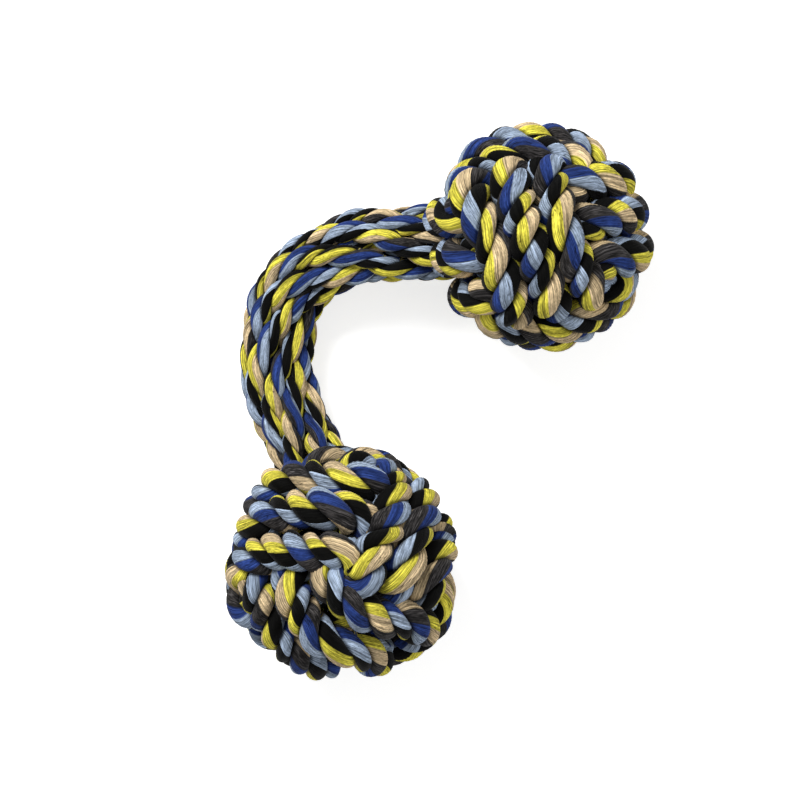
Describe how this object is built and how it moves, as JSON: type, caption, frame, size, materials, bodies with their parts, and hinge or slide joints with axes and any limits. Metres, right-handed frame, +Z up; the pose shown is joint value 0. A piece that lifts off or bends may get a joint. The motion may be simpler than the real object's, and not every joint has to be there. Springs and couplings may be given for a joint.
{
  "type": "rope dog toy",
  "caption": "Ball knots of wound multicoloured cord joined by a plaited rope handle bent into a C, lying on its side.",
  "frame": {"origin": "on the floor, under the middle of the toy's plan outline", "axes": "+Z up from the floor, the C lies in the XY plane and opens towards +X, +Y runs from the lower knot to the upper knot"},
  "size_m": [0.1272, 0.1668, 0.0689],
  "materials": {
    "knot_cord": "twisted cotton cord of blue, light blue, black, charcoal, tan and yellow yarns",
    "cotton_core": "packed undyed cotton",
    "strand_yellow": "three parallel twisted cotton cords of the same six colours",
    "strand_blue": "three parallel twisted cotton cords of the same six colours",
    "strand_black": "three parallel twisted cotton cords of the same six colours"
  },
  "bodies": {
    "lower": {"lower_knot_cord": "knot_cord", "lower_knot_core": "cotton_core", "handle_strand_1": "strand_yellow", "handle_strand_2": "strand_blue", "handle_strand_3": "strand_black"},
    "upper": {"upper_knot_cord": "knot_cord", "upper_knot_core": "cotton_core"}
  },
  "joints": [
    {"name": "handle_bend", "type": "hinge", "parent": "lower", "child": "upper", "pos_m": [-0.04944, 0.0191, 0.02], "axis": [0, 0, 1], "range_deg": [-35, 70], "deforming": ["handle_strand_1", "handle_strand_2", "handle_strand_3"]}
  ]
}
